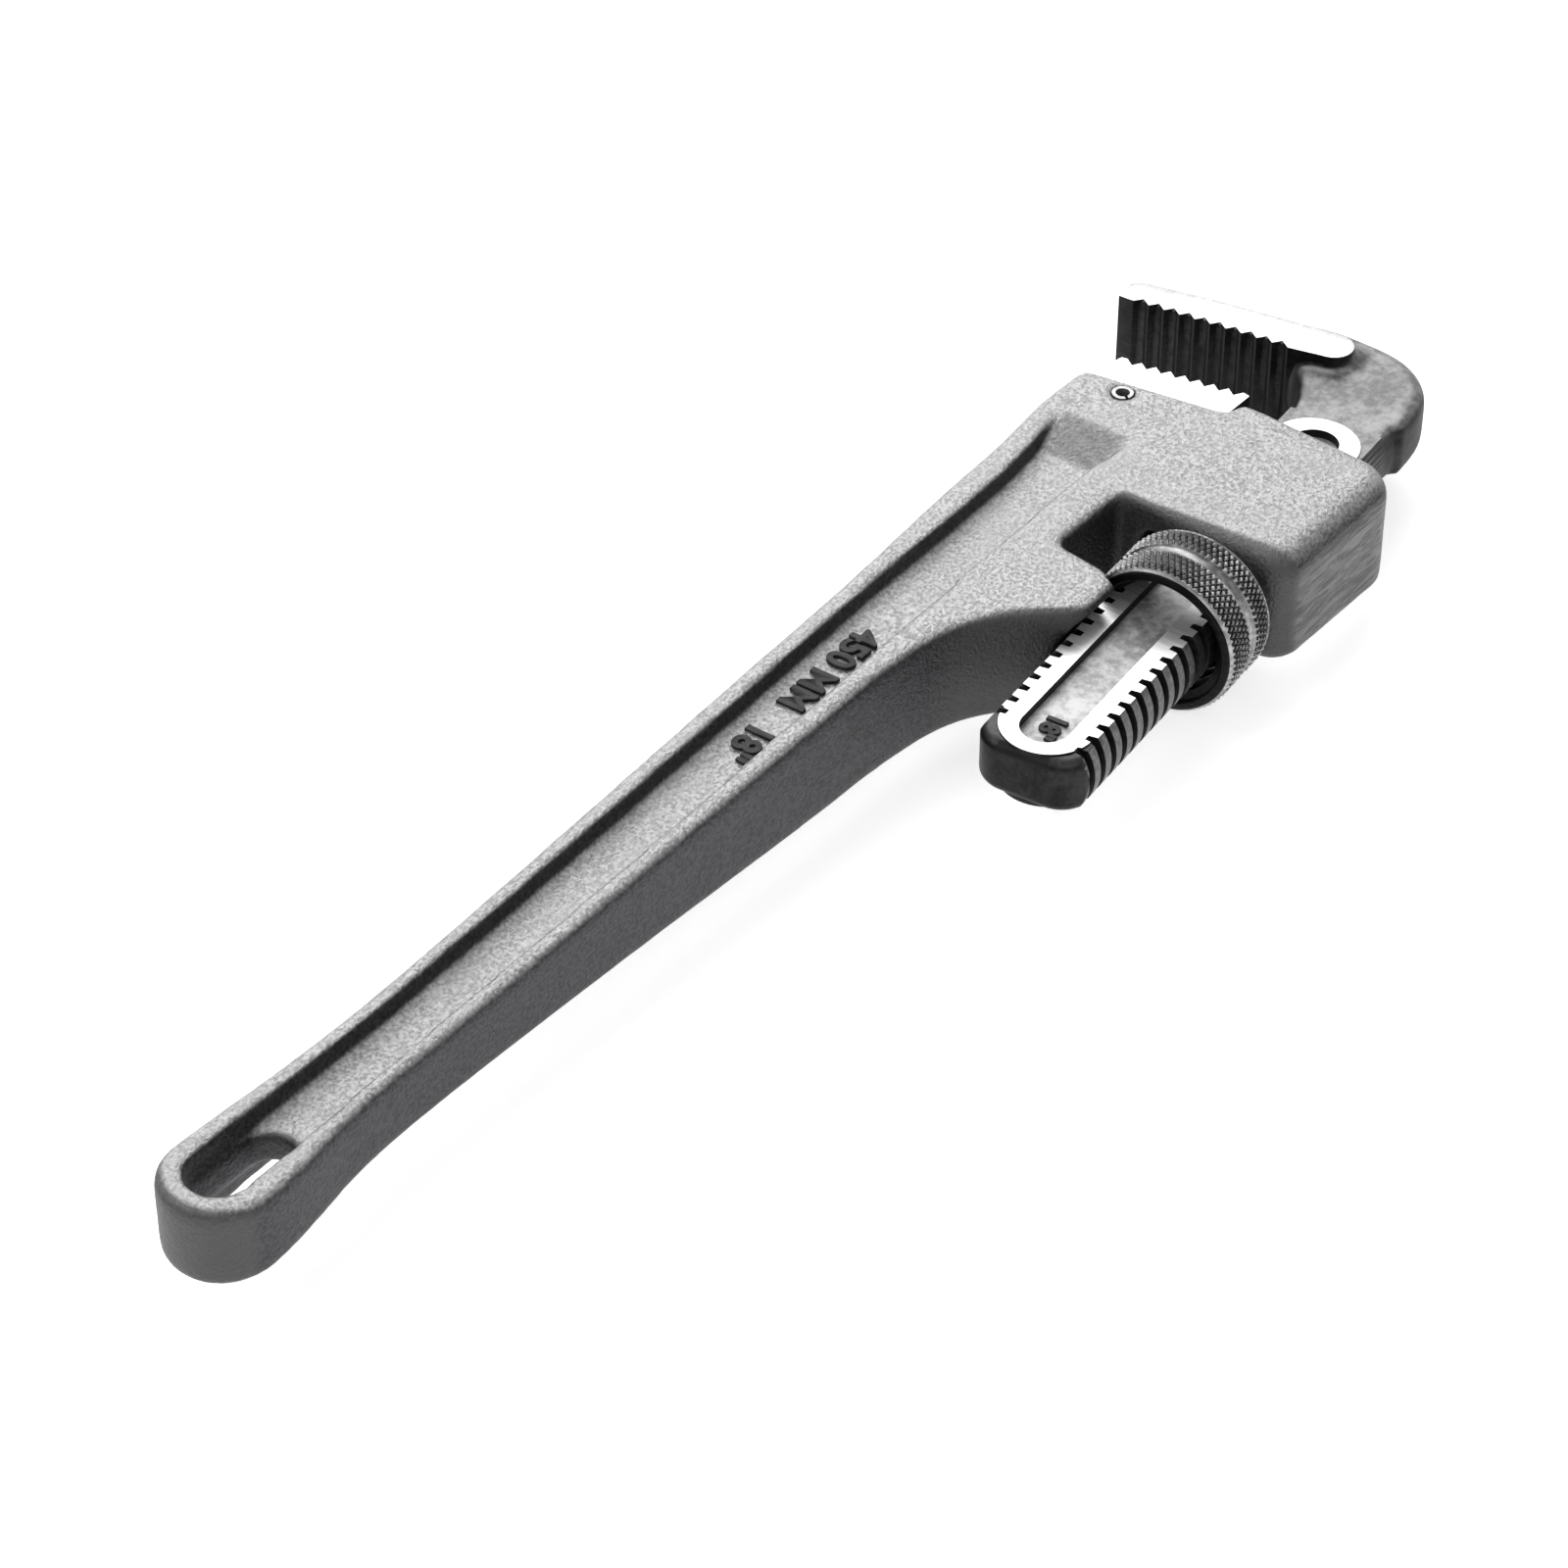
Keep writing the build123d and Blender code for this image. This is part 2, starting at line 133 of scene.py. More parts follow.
def applied(obj):
    """The object with its modifiers made real."""
    graph = bpy.context.evaluated_depsgraph_get()
    mesh = bpy.data.meshes.new_from_object(obj.evaluated_get(graph))
    old = obj.data
    obj.modifiers.clear()
    obj.data = mesh
    bpy.data.meshes.remove(old)
    return obj


def remeshed(obj, size):
    """The object rebuilt from even voxels of that size in millimetres."""
    mod = obj.modifiers.new("Remesh", "REMESH")
    mod.mode = "VOXEL"
    mod.voxel_size = size * MM
    return applied(obj)


def smoothed(obj, rounds, weight=None, regrow=0.0):
    """Evens the surface out, by a weight for each point where one is given.

    Where regrow is above 0, every second round grows the shape back by that share, so it keeps its size.
    """
    mesh = obj.data
    co = vectors(mesh.vertices)
    edges = np.zeros(len(mesh.edges) * 2, int)
    mesh.edges.foreach_get("vertices", edges)
    edges = edges.reshape(-1, 2)
    neighbours = np.bincount(edges.ravel(), minlength=len(co))[:, None].clip(1)
    share = 0.5 if weight is None else 0.5 * weight[:, None]
    for number in range(rounds):
        total = np.zeros_like(co)
        np.add.at(total, edges[:, 0], co[edges[:, 1]])
        np.add.at(total, edges[:, 1], co[edges[:, 0]])
        growing = regrow and number % 2
        co += (total / neighbours - co) * share * (-regrow if growing else 1)
    set_coords(mesh, co)


def step(low, high, value):
    """A smooth rise from 0 at low to 1 at high."""
    t = np.clip((value - low) / (high - low), 0, 1)
    return t * t * (3 - 2 * t)


def between(low, high, share):
    """From low at share 0 to high at share 1."""
    return low + (high - low) * share


def band(value, low, high, edge):
    """1 between low and high, falling to 0 at both over the edge's width."""
    return np.clip(np.minimum(value - low, high - value) / edge, 0, 1)


def roughened(obj, size, depth, seed):
    """Presses soft unevenness into the surface, inward only, by up to depth millimetres."""
    mesh = obj.data
    co = vectors(mesh.vertices)
    normals = vectors(mesh.vertex_normals, "vector")
    shift = Vector((seed, seed * 0.7, -seed))
    level = np.array([noise.noise(Vector(p) / (size * MM) + shift) for p in co])
    co -= normals * ((level * 0.5 + 0.5) * depth * MM)[:, None]
    set_coords(mesh, co)


def shade_smooth(obj, angle=None):
    """Smooth shading, with edges sharper than the angle kept."""
    mesh = obj.data
    mesh.polygons.foreach_set("use_smooth", [True] * len(mesh.polygons))
    if angle is not None:
        mesh.set_sharp_from_angle(angle=math.radians(angle))


def with_material(obj, *materials):
    """Gives the object its materials."""
    obj.data.materials.clear()
    for material in materials:
        obj.data.materials.append(material)


# The housing round the shank: its two end walls, its outer wall and its half thickness. Grinding marks
# come in between the two GROUND_WALL distances from the outer wall.
HOUSING_X = (117.3, 174.0)
HOUSING_Y = -71.0
HEAD_HALF = 17.5
GROUND_WALL = (1.4, 0.4)

# Materials


class Graph:
    """A short way to write a node material."""

    def __init__(self, name):
        self.material = bpy.data.materials.new(name)
        self.material.use_nodes = True
        self.tree = self.material.node_tree
        self.tree.nodes.clear()
        self.out = self.tree.nodes.new("ShaderNodeOutputMaterial")
        self.shader = self.node("ShaderNodeBsdfPrincipled")
        self.tree.links.new(self.shader.outputs[0], self.out.inputs[0])
        self.coords = self.node("ShaderNodeTexCoord")

    def node(self, kind, **values):
        made = self.tree.nodes.new(kind)
        for key, value in values.items():
            setattr(made, key, value)
        return made

    def feed(self, socket, value):
        if hasattr(value, "links"):
            self.tree.links.new(value, socket)
        else:
            socket.default_value = value

    def math(self, operation, a, b=0.0, c=0.0):
        made = self.node("ShaderNodeMath", operation=operation)
        for socket, value in zip(made.inputs, (a, b, c)):
            self.feed(socket, value)
        return made.outputs[0]

    def point(self, scale=(1, 1, 1), turn=(0, 0, 0)):
        made = self.node("ShaderNodeMapping")
        self.feed(made.inputs["Vector"], self.coords.outputs["Object"])
        made.inputs["Scale"].default_value = scale
        made.inputs["Rotation"].default_value = turn
        return made.outputs[0]

    def noise(self, scale, detail=3.0, rough=0.55, where=None, distort=0.0):
        made = self.node("ShaderNodeTexNoise")
        self.feed(made.inputs["Vector"], where or self.coords.outputs["Object"])
        made.inputs["Scale"].default_value = scale
        made.inputs["Detail"].default_value = detail
        made.inputs["Roughness"].default_value = rough
        made.inputs["Distortion"].default_value = distort
        return made.outputs[0]

    def ramp(self, value, low, high, start=0.0, end=1.0):
        made = self.node("ShaderNodeMapRange", interpolation_type="SMOOTHSTEP")
        for socket, item in zip(made.inputs, (value, low, high, start, end)):
            self.feed(socket, item)
        return made.outputs[0]

    def part(self, source, axis):
        made = self.node("ShaderNodeSeparateXYZ")
        self.feed(made.inputs[0], source)
        return made.outputs[axis]

    def mix(self, share, a, b):
        made = self.node("ShaderNodeMix", data_type="RGBA")
        for socket, item in ((made.inputs[0], share), (made.inputs[6], a), (made.inputs[7], b)):
            self.feed(socket, item)
        return made.outputs[2]

    def bump(self, height, strength, distance, before=None):
        made = self.node("ShaderNodeBump")
        made.inputs["Strength"].default_value = strength
        made.inputs["Distance"].default_value = distance * MM
        self.feed(made.inputs["Height"], height)
        if before:
            self.feed(made.inputs["Normal"], before)
        return made.outputs[0]

    def finish(self, color, rough, metallic, normal=None):
        self.feed(self.shader.inputs["Base Color"], color)
        self.feed(self.shader.inputs["Roughness"], rough)
        self.shader.inputs["Metallic"].default_value = metallic
        if normal:
            self.feed(self.shader.inputs["Normal"], normal)
        return self.material


def grey(value, tint=0.0):
    """A near-neutral colour, slightly blue where tint is above 0."""
    return (value, value, value * (1 + tint), 1)


def cast_material():
    """Shot-blasted cast aluminium: pitted faces in a bright copy as painted light, walls in a dark copy as painted
    shade, a ground outer wall with real grinding marks kept dark as painted shade, and painted shade on faces
    turned towards the handle's end.
    """
    g = Graph("cast_aluminium")
    normal_up = g.math("ABSOLUTE", g.part(g.coords.outputs["Normal"], 2))
    # Flat faces take the bright copy and walls the dark one: painted light and painted shade, over the real pits.
    top = g.ramp(normal_up, 0.45, 0.97)
    pits = g.noise(950, 2.5, 0.6)
    fine = g.noise(2300, 2.0, 0.6)
    broad = g.noise(38, 4.0, 0.6)
    pitted = g.ramp(pits, 0.34, 0.66)
    bright = g.mix(pitted, grey(0.34), grey(0.68))
    bright = g.mix(g.ramp(broad, 0.35, 0.75, 0.0, 0.5), bright, grey(0.53))
    wall = g.mix(g.ramp(pits, 0.3, 0.7), grey(0.045, 0.06), grey(0.10, 0.06))
    color = g.mix(top, wall, bright)
    # The outer wall's grinding marks are real; their dark tone continues the walls' painted shade.
    wall_start, wall_full = (place(0, HOUSING_Y + inset).y for inset in GROUND_WALL)
    outer_wall = g.ramp(g.part(g.coords.outputs["Object"], 1), wall_start, wall_full)
    marks = g.noise(520, 3.0, 0.65, g.point((0.14, 1.0, 1.0), (0, 0.12, 0)), 1.5)
    color = g.mix(outer_wall, color, g.mix(g.ramp(marks, 0.35, 0.65), grey(0.09), grey(0.19)))
    # Faces turned towards the handle's end are darkened: painted shade.
    painted_shade_towards_handle_end = g.math("MULTIPLY", g.part(g.coords.outputs["Normal"], 0), -1.0)
    color = g.mix(g.ramp(painted_shade_towards_handle_end, 0.12, 0.42, 0.0, 0.8), color, grey(0.10))
    rough = g.math("MULTIPLY_ADD", pits, 0.22, 0.36)
    height = g.math("MULTIPLY_ADD", fine, 0.35, pits)
    gap = g.math("MULTIPLY", g.math("SUBTRACT", marks, height), outer_wall)
    normal = g.bump(g.math("ADD", height, gap), 1.0, 0.55)
    return g.finish(color, rough, 0.85, normal)


def ground_material():
    """Ground steel: bright with fine grinding lines on its faces, black oxide in the teeth."""
    g = Graph("ground_steel")
    normal_up = g.math("ABSOLUTE", g.part(g.coords.outputs["Normal"], 2))
    top = g.ramp(normal_up, 0.75, 0.95)
    lines = g.noise(420, 3.0, 0.65, g.point((1.0, 0.06, 1.0), (0, 0, 0.3)))
    stain = g.noise(160, 4.0, 0.6)
    steel = g.mix(g.ramp(lines, 0.3, 0.7), grey(0.88), grey(0.98))
    dark = g.mix(g.ramp(stain, 0.4, 0.75), grey(0.012), grey(0.07))
    color = g.mix(top, dark, steel)
    rough = g.math("MULTIPLY_ADD", lines, 0.25, 0.22)
    normal = g.bump(lines, 0.35, 0.08)
    return g.finish(color, rough, 0.9, normal)


def forged_material(name, low, high, rough_base=0.42):
    """Mottled scale on forged steel, in a lighter copy on upward faces as painted light and a darker copy
    elsewhere as painted shade.
    """
    g = Graph(name)
    # Upward faces get the lighter copy, all others the darker one: painted light and painted shade over the real
    # mottled scale.
    up = g.ramp(g.part(g.coords.outputs["Normal"], 2), 0.35, 0.9)
    spots = g.noise(420, 4.0, 0.65)
    broad = g.noise(70, 3.0, 0.55)
    fine = g.noise(1500, 2.0, 0.6)
    level = g.math("MULTIPLY_ADD", broad, 0.6, g.math("MULTIPLY", spots, 0.7))
    dark = g.mix(g.ramp(level, 0.45, 0.85), grey(low * 0.45), grey(low * 1.6))
    bright = g.mix(g.ramp(level, 0.5, 0.8), grey(high * 0.6), grey(high * 1.25))
    color = g.mix(up, dark, bright)
    rough = g.math("MULTIPLY_ADD", spots, 0.25, rough_base)
    height = g.math("MULTIPLY_ADD", fine, 0.4, spots)
    normal = g.bump(height, 0.6, 0.2)
    return g.finish(color, rough, 0.85, normal)


def plain_steel(name, value, rough, bump=0.2, metallic=0.9):
    """Machined steel with faint streaks and stains."""
    g = Graph(name)
    streaks = g.noise(700, 3.0, 0.6, g.point((1.0, 0.25, 1.0)))
    color = g.mix(g.ramp(streaks, 0.3, 0.75), grey(value * 0.55), grey(value * 1.3))
    roughness = g.math("MULTIPLY_ADD", streaks, 0.25, rough - 0.1)
    return g.finish(color, roughness, metallic, g.bump(streaks, bump, 0.1))


def brushed_material(name, value, turn, stretch=(0.05, 1.0, 1.0)):
    """A bright ground face with brush lines in one direction."""
    g = Graph(name)
    lines = g.noise(900, 3.0, 0.7, g.point(stretch, (0, 0, turn)))
    color = g.mix(g.ramp(lines, 0.25, 0.7), grey(value * 0.82), grey(min(value * 1.08, 0.98)))
    rough = g.math("MULTIPLY_ADD", lines, 0.2, 0.25)
    return g.finish(color, rough, 0.75, g.bump(lines, 0.3, 0.06))


cast = cast_material()
ground = ground_material()
forged = forged_material("forged_steel", 0.03, 0.34)
barrel = forged_material("forged_end", 0.02, 0.06, 0.3)
recess = forged_material("recess_floor", 0.3, 0.62, 0.5)
crest = plain_steel("thread_crest", 0.14, 0.36)
# Near-black steel for the screw's thread grooves and recess walls: painted shade.
black = plain_steel("painted_shade_groove_steel", 0.012, 0.45, 0.3, 0.6)
tooth = plain_steel("jaw_teeth", 0.015, 0.38, 0.3, 0.8)
flat = brushed_material("ground_flat", 0.92, -LEAN, (1.0, 0.04, 1.0))
pad_face = brushed_material("pad_face", 0.97, 1.75, (0.04, 1.0, 1.0))
knurl_steel = plain_steel("knurled_steel", 0.42, 0.33, 0.15)
# Near-black steel for the nut's bore and foot face: painted shade.
bore_painted_shade_steel = plain_steel("nut_bore_painted_shade", 0.012, 0.4, 0.2)
# Near-black steel for the knurl's valleys: painted shade in the creases.
knurl_painted_shade = plain_steel("knurl_painted_shade", 0.02, 0.5, 0.2)
spring_steel = plain_steel("spring_steel", 0.5, 0.35)
# Dark steel for the raised size marks: painted shade in place of the letters' shadows.
painted_shade_mark = plain_steel("painted_shade_mark", 0.07, 0.55, 0.5)


# Handle: the casting, softened as sand casting leaves it

# Radius of the housing's edges, from the head to its outer wall, at the nut's end and at the jaw's end
NUT_END_EDGE = (2.6, 9.2)
JAW_END_EDGE = (2.8, 7.6)
# The underside's edges keep only this share of that, on top of a least radius
UNDER_SHARE = 0.35
UNDER_LEAST = 2.0
# Radius of the outline's two outer corners, at the nut's end and at the jaw's end
CORNER = (9.0, 12.0)
# The edges widen from OUTER_FROM outward, and all rounding fades in between the other two lines
OUTER_FROM = -20.0
ROUND_FROM = -18.0
ROUND_FULL = -24.0
# The outline runs on past the head by more than the housing's height, so only three sides are rounded
OUTLINE_HALF = 60.0
WALL_ROOM = 1.5


def housing_distance(points, corner):
    """How far each point is outside the housing's outline, below 0 within it, and the way out."""
    low_x, high_x = HOUSING_X
    centre = np.array([(low_x + high_x) / 2, HOUSING_Y + OUTLINE_HALF])
    half = np.array([(high_x - low_x) / 2, OUTLINE_HALF])
    rel = points - centre
    past = np.abs(rel) - half + corner[:, None]
    outside = np.maximum(past, 0)
    length = np.linalg.norm(outside, axis=1)
    distance = length + np.minimum(past.max(axis=1), 0) - corner
    nearest_side = (past >= past.max(axis=1, keepdims=True)).astype(float)
    way_out = np.where(length[:, None] > TINY, outside / np.maximum(length, TINY)[:, None], nearest_side)
    return distance, way_out * np.sign(rel)


def round_housing(obj):
    """Rounds the housing's edges, the more the nearer they are to its outer wall."""
    p = drawing(vectors(obj.data.vertices))
    low_x, high_x = HOUSING_X
    outer = np.clip((OUTER_FROM - p[:, 1]) / (OUTER_FROM - HOUSING_Y), 0, 1)
    across = np.clip((p[:, 0] - low_x) / (high_x - low_x), 0, 1)
    edge = between(between(*NUT_END_EDGE, outer), between(*JAW_END_EDGE, outer), across)
    edge = np.where(p[:, 2] < 0, UNDER_LEAST + edge * UNDER_SHARE, edge)
    distance, way_out = housing_distance(p[:, :2], between(*CORNER, across))
    past_side = np.maximum(distance + edge, 0)
    past_face = np.maximum(np.abs(p[:, 2]) - HEAD_HALF + edge, 0)
    reach = np.hypot(past_side, past_face)
    near_wall = (distance > -edge - 1) & (distance < WALL_ROOM)
    in_housing = (p[:, 1] < ROUND_FROM) & (p[:, 0] > low_x - WALL_ROOM)
    pull = np.where((reach > edge) & near_wall & in_housing, edge / np.maximum(reach, TINY), 1.0) - 1
    pull *= step(ROUND_FROM, ROUND_FULL, p[:, 1])
    p[:, :2] += way_out * (past_side * pull)[:, None]
    p[:, 2] += np.sign(p[:, 2]) * past_face * pull
    set_coords(obj.data, p * MM + np.array(SHIFT))


def make_handle():
    """The cast handle with its head, housing and nose."""
    obj = remeshed(cad_copy("handle", "handle_casting"), 1.0)
    smoothed(obj, 6)
    round_housing(obj)
    smoothed(obj, 2)
    roughened(obj, 9.0, 0.16, 3.1)
    roughened(obj, 2.2, 0.09, 7.7)
    shade_smooth(obj)
    with_material(obj, cast)
    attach(obj, "handle_body")
    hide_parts("handle")
    return obj


# Adjusting nut: a real knurl and a real internal thread

PITCH = 5.48
# Middle of the screw's first groove on its outer side, along the axis from the nut's foot
THREAD_START = -58.9
BORE_RADIUS = 18.3
RIDGE_RADIUS = 16.25
RIDGE_HALF = 1.05
RIDGE_FLANK = 0.4

NUT_RADIUS = 22.0
KNURLS = 72
STEPS_ROUND = KNURLS * 6
KNURL_RISE = 3.3
KNURL_DEPTH = 0.75
KNURL_SLOPE = 1.35
# Start, end and number of rows of each knurled band
KNURL_BANDS = ((1.5, 10.5, 33), (14.0, 20.9, 25))
PLAIN, KNURL, BORE = range(3)


def nut_section():
    """The nut's section as columns of radius, height and kind, up its outside and down its bore."""
    foot = [(18.8, 0.0), (20.2, 0.0), (20.75, 0.25), (20.9, 0.7), (21.2, 1.0), (21.6, 1.25)]
    waist = [(21.5, 10.75), (21.0, 11.0), (20.9, 11.3), (20.9, 12.3)]
    waist += [(20.9, 13.3), (21.0, 13.6), (21.5, 13.8)]
    head = [(21.5, 21.3), (21.1, NUT_LENGTH), (18.9, NUT_LENGTH)]
    lower, upper = ([(NUT_RADIUS, z) for z in np.linspace(*rows)] for rows in KNURL_BANDS)
    bore = [(BORE_RADIUS, z) for z in np.linspace(NUT_LENGTH - 0.5, 0.5, 56)]
    stretches = ((foot, PLAIN), (lower, KNURL), (waist, PLAIN), (upper, KNURL), (head, PLAIN), (bore, BORE))
    rows = [(radius, z, kind) for points, kind in stretches for radius, z in points]
    return [np.array(column)[:, None] for column in zip(*rows)]


def from_whole(value):
    """Distance from the nearest whole number."""
    return np.abs(value - np.round(value))


def nut_thread(height, angle):
    """Radius of the bore, with a right-handed ridge in line with the screw's grooves."""
    phase = (THREAD_START + PITCH / 2) % PITCH
    gap = from_whole((height - phase) / PITCH - angle / math.tau) * PITCH
    ends = band(height, 1.2, NUT_LENGTH - 1.2, 0.8)
    return BORE_RADIUS - (BORE_RADIUS - RIDGE_RADIUS) * np.clip((RIDGE_HALF - gap) / RIDGE_FLANK, 0, 1) * ends


def make_nut():
    """The knurled adjusting nut."""
    radius, height, kind = nut_section()
    angle = np.arange(STEPS_ROUND)[None, :] * math.tau / STEPS_ROUND
    number = KNURLS * angle / math.tau
    rise = height / KNURL_RISE
    diamond = 2 * np.minimum(from_whole(number + rise), from_whole(number - rise))
    in_band = np.maximum(*(band(height, start - 0.1, end + 0.1, 0.3) for start, end, _ in KNURL_BANDS))
    floor_radius = NUT_RADIUS - KNURL_DEPTH
    knurl = floor_radius + KNURL_DEPTH * np.minimum(diamond * KNURL_SLOPE, 1.0) * in_band
    r = np.where(kind == KNURL, knurl, np.where(kind == BORE, nut_thread(height, angle), radius))
    axis, side, up = (np.array(v) for v in (AXIS, SIDE, UP))
    ring = side * np.cos(angle)[..., None] + up * np.sin(angle)[..., None]
    co = np.array(NUT_FOOT) + (axis * height[..., None] + ring * r[..., None]) * MM
    index = np.arange(r.size).reshape(r.shape)
    beside = np.roll(index, -1, axis=1)
    quads = np.stack([index, beside, np.roll(beside, -1, axis=0), np.roll(index, -1, axis=0)], axis=-1)
    mesh = bpy.data.meshes.new("nut_knurled")
    mesh.from_pydata(co.reshape(-1, 3).tolist(), [], quads.reshape(-1, 4).tolist())
    mesh.update()
    obj = new_object("nut_knurled", mesh)
    bm = bmesh.new()
    bm.from_mesh(mesh)
    bmesh.ops.recalc_face_normals(bm, faces=bm.faces)
    bm.to_mesh(mesh)
    bm.free()
    with_material(obj, knurl_steel, bore_painted_shade_steel, knurl_painted_shade)
    # The bore and the foot's end face get the near-black steel: painted shade.
    painted_shade_end = (kind == BORE) | (height < 0.7)
    # The knurl's deep valleys get the near-black steel: painted shade.
    painted_shade_valley = (kind == KNURL) & (knurl < NUT_RADIUS - KNURL_DEPTH * 0.62) & (in_band > 0.9)
    mesh.polygons.foreach_set("material_index", np.where(painted_shade_end, 1, np.where(painted_shade_valley, 2, 0)).ravel())
    shade_smooth(obj, 28)
    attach(obj, "nut")
    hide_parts("adjusting_nut")
    return obj


# Hook: the crisp machined screw, the soft forging and the ground jaw face

# Along the screw: its threaded stretch, where its forged end begins, where the screw's piece ends,
# how far in the forging's piece reaches, and where the forging is soft and at its full size
THREADED = (-61.0, 88.0)
FORGED_FROM = 86.0
SCREW_CUT = 103.6
FORGING_CUT = 98.0
SOFT_FROM = 106.5
FULL_FROM = 107.0
# Limits that tell the screw's faces apart: just under its crests and its flats, below and above its
# recess's floor, the foot of the recess's walls, just past them, and nearer the axis than any groove
CREST_RADIUS = 15.7
FLAT_LEVEL = 8.3
RECESS_FLOOR = (5.0, 7.0)
WALL_FOOT = 5.5
RECESS_HALF = 7.5
GROOVE_SIDE = 9.5
# The forging is this much thinner where the screw's piece hides it
HIDDEN_SHRINK = 0.02


def cut_off(obj, along, keep_low):
    """Cuts the object square across the screw's axis and caps it."""
    bm = bmesh.new()
    bm.from_mesh(obj.data)
    origin = NUT_FOOT + AXIS * along * MM
    cut = bmesh.ops.bisect_plane(
        bm, geom=bm.verts[:] + bm.edges[:] + bm.faces[:], dist=1e-7, plane_co=origin, plane_no=AXIS,
        clear_outer=keep_low, clear_inner=not keep_low)
    rim = [e for e in cut["geom_cut"] if isinstance(e, bmesh.types.BMEdge)]
    bmesh.ops.contextual_create(bm, geom=rim)
    bmesh.ops.triangulate(bm, faces=bm.faces[:])
    bm.to_mesh(obj.data)
    bm.free()


def make_screw():
    """The screw-cut shank with its ground flats."""
    obj = cad_copy("hook_jaw", "hook_screw")
    cut_off(obj, SCREW_CUT, True)
    mesh = obj.data
    with_material(obj, barrel, flat, recess, crest, black, forged)
    is_flat, is_recess, is_crest, is_painted_shade, is_forged = range(1, 6)
    s = screw_coords(vectors(mesh.polygons, "center"))
    along, across, up = s[:, 0], np.abs(s[:, 1]), np.abs(s[:, 2])
    level = np.abs(vectors(mesh.polygons, "normal")[:, 2]) > 0.95
    radius = np.hypot(across, up)
    threaded = ~level & (along > THREADED[0]) & (along < THREADED[1])
    kind = np.zeros(len(s), int)
    kind[along > FORGED_FROM] = is_forged
    kind[level & (up > FLAT_LEVEL)] = is_flat
    kind[level & (up > RECESS_FLOOR[0]) & (up < RECESS_FLOOR[1])] = is_recess
    # Recess walls and thread grooves get the near-black steel: painted shade in the hollows.
    kind[~level & (across < RECESS_HALF) & (up > WALL_FOOT) & (up < FLAT_LEVEL)] = is_painted_shade
    kind[threaded & (radius > CREST_RADIUS)] = is_crest
    kind[threaded & (radius <= CREST_RADIUS) & (across > GROOVE_SIDE)] = is_painted_shade
    mesh.polygons.foreach_set("material_index", kind)
    shade_smooth(obj, 25)
    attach(obj, "hook")
    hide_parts("hook_jaw")
    return obj


def make_forging():
    """The hook's forged body, softened beyond the end of the screw."""
    obj = cad_copy("hook_jaw", "hook_forging")
    cut_off(obj, FORGING_CUT, False)
    remeshed(obj, 0.75)
    soft = step(SCREW_CUT, SOFT_FROM, screw_coords(vectors(obj.data.vertices))[:, 0])
    smoothed(obj, 2)
    smoothed(obj, 120, soft, 1.03)
    smoothed(obj, 6, soft)
    co = vectors(obj.data.vertices)
    along, across, up = screw_coords(co).T[..., None]
    shrink = HIDDEN_SHRINK * (1 - step(SCREW_CUT, FULL_FROM, along))
    set_coords(obj.data, co - (np.array(SIDE) * across + np.array(UP) * up) * shrink * MM)
    roughened(obj, 7.0, 0.2, 5.3)
    roughened(obj, 1.8, 0.07, 1.9)
    shade_smooth(obj)
    with_material(obj, forged)
    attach(obj, "hook")
    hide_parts("hook_jaw")
    return obj


# Jaw face: its row of teeth, tip, back and round lower end
TEETH_FROM = np.array([206.9, -11.5])
TEETH_TO = np.array([199.6, 35.5])
TEETH = 10
TOOTH_DEPTH = 2.3
TOOTH_LEAN = 0.55
JAW_TIP = [(199.4, 40.4), (203.2, 40.9), (206.6, 41.0), (208.4, 39.6)]
JAW_BACK = [(209.2, 38.4), (214.0, 19.0), (218.5, -3.0), (221.5, -21.0)]
LOWER_END = np.array([215.45, -20.9])
LOWER_RADIUS = 6.0
LOWER_CORNER = (209.4, -21.0)
JAW_HALF = 14.0
PAD_BEVEL = 0.16


def curve_points(points, steps):
    """A smooth line through the points, with that many steps from each to the next."""
    pts = [np.array(p, float) for p in points]
    pts = [2 * pts[0] - pts[1]] + pts + [2 * pts[-1] - pts[-2]]
    out = []
    for a, b, c, d in zip(pts, pts[1:], pts[2:], pts[3:]):
        for t in np.linspace(0, 1, steps, endpoint=False):
            out.append(0.5 * (2 * b + (c - a) * t + (2 * a - 5 * b + 4 * c - d) * t * t
                              + (3 * b - a - 3 * c + d) * t ** 3))
    out.append(pts[-2])
    return out


def pad_outline():
    """The jaw face's outline, from its lowest tooth round to its lower end."""
    run = (TEETH_TO - TEETH_FROM) / TEETH
    inward = np.array([run[1], -run[0]]) / np.linalg.norm(run) * TOOTH_DEPTH
    outline = []
    for number in range(TEETH):
        tooth_start = TEETH_FROM + run * number
        outline += [tooth_start, tooth_start + run * TOOTH_LEAN + inward]
    outline += [TEETH_TO, *JAW_TIP, *curve_points(JAW_BACK, 8)]
    for angle in np.linspace(0, -math.pi, 15)[1:-1]:
        outline.append(LOWER_END + LOWER_RADIUS * np.array([math.cos(angle), math.sin(angle)]))
    return outline + [LOWER_CORNER]


